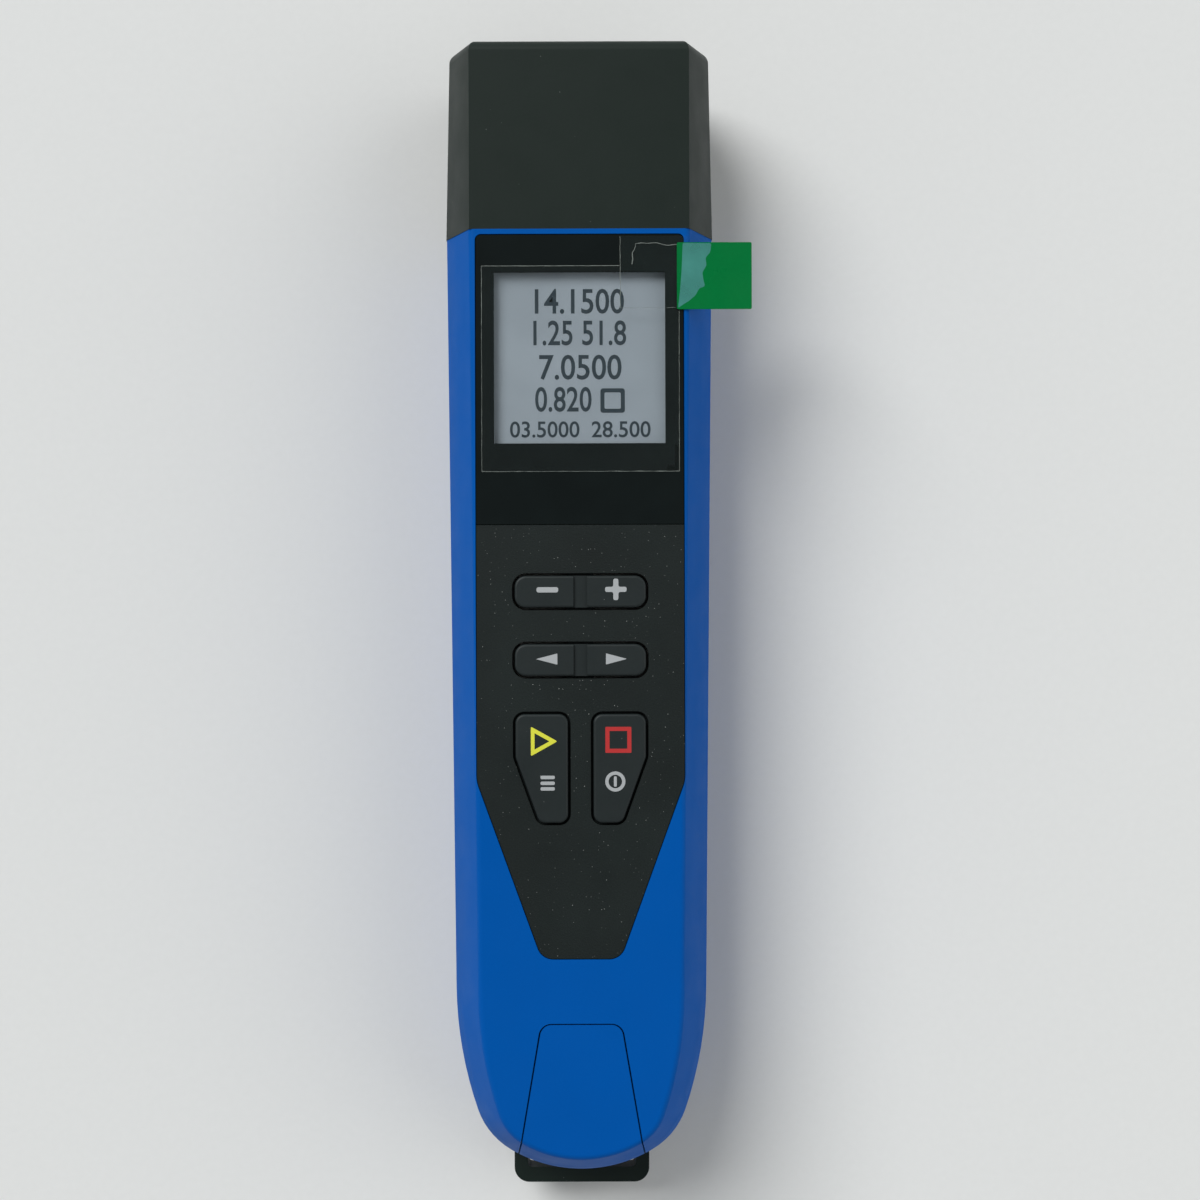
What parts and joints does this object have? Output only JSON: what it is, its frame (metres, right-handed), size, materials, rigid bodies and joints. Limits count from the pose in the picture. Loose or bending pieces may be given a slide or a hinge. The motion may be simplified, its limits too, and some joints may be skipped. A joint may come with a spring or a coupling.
{
  "type": "antenna analyzer",
  "caption": "Handheld antenna analyzer with a faceted case, square display, rocker and press keys, pull-off socket cap and hinged port cover.",
  "frame": {"origin": "on the flat back face, under the middle of the case", "axes": "+Z out of the screen, +Y towards the antenna socket at the head, +X to the reader's right"},
  "size_m": [0.0583, 0.223, 0.0345],
  "materials": {
    "blue_case": "fine satin moulded plastic",
    "black_case": "satin moulded plastic",
    "black_fascia": "fine textured film",
    "gloss_window": "polished, clear over the display",
    "lcd_grey": "reflective display",
    "clear_film": "clear film",
    "green_tab": "printed film",
    "key_rubber": "satin",
    "grey_rubber": "matte",
    "black_rubber": "matte",
    "white_plastic": "diffuser",
    "green_board": "solder mask",
    "chip_black": "moulded",
    "nickel": "nickel plated",
    "steel": "zinc plated",
    "brass": "plated",
    "white_insulator": "turned",
    "battery_sleeve": "shrink sleeve",
    "red_wire": "insulation",
    "black_wire": "insulation",
    "label_grey": "bare label"
  },
  "bodies": {
    "case": {"front_shell": "blue_case", "rear_shell": "blue_case", "connector_neck": "black_case", "strap_bracket": "black_case", "seam_gasket": "black_rubber", "connector_o_ring": "black_rubber", "fascia": "black_fascia", "display_window": "gloss_window", "window_tape": "white_plastic", "lcd_glass": "lcd_grey", "lcd_backlight": "white_plastic", "lcd_gasket": "black_rubber", "lcd_flex": "brass", "keypad_mat": "grey_rubber", "snap_domes": "nickel", "main_board": "green_board", "board_chips": "chip_black", "rf_shield": "nickel", "usb_socket": "nickel", "battery_cell": "battery_sleeve", "battery_cradle": "white_plastic", "battery_plug": "white_plastic", "battery_lead_red": "red_wire", "battery_lead_black": "black_wire", "buzzer": "chip_black", "connector_body": "nickel", "connector_insulator": "white_insulator", "centre_contact": "brass", "lock_washer": "steel", "connector_nut": "nickel", "rf_lead": "black_wire", "case_screws": "steel", "board_screws": "steel", "rear_label": "label_grey"},
    "cap": {"connector_cap": "black_case"},
    "minus_plus": {"minus_plus_key": "key_rubber"},
    "arrows": {"arrow_key": "key_rubber"},
    "run": {"run_key": "key_rubber"},
    "stop": {"stop_key": "key_rubber"},
    "cover": {"port_cover": "blue_case"},
    "film": {"screen_film": "clear_film", "film_tape": "clear_film", "pull_tab": "green_tab"}
  },
  "joints": [
    {"name": "cap_pull", "type": "slide", "parent": "case", "child": "cap", "axis": [0, 1, 0], "range_m": [0, 0.06]},
    {"name": "minus_plus_rock", "type": "hinge", "parent": "case", "child": "minus_plus", "pos_m": [0, 0.0031, 0.0309], "axis": [0, 1, 0], "range_deg": [-3, 3], "stiffness_Nm_per_rad": 0.15},
    {"name": "arrow_rock", "type": "hinge", "parent": "case", "child": "arrows", "pos_m": [0, -0.0098, 0.0309], "axis": [0, 1, 0], "range_deg": [-3, 3], "stiffness_Nm_per_rad": 0.15},
    {"name": "run_press", "type": "slide", "parent": "case", "child": "run", "axis": [0, 0, -1], "range_m": [0, 0.0009], "stiffness_N_per_m": 300},
    {"name": "stop_press", "type": "slide", "parent": "case", "child": "stop", "axis": [0, 0, -1], "range_m": [0, 0.0009], "stiffness_N_per_m": 300},
    {"name": "port_cover_swing", "type": "hinge", "parent": "case", "child": "cover", "pos_m": [0, -0.1076, 0.0186], "axis": [1, 0, 0], "range_deg": [0, 90]},
    {"name": "film_lift", "type": "slide", "parent": "case", "child": "film", "axis": [0, 0, 1], "range_m": [0, 0.02]}
  ]
}
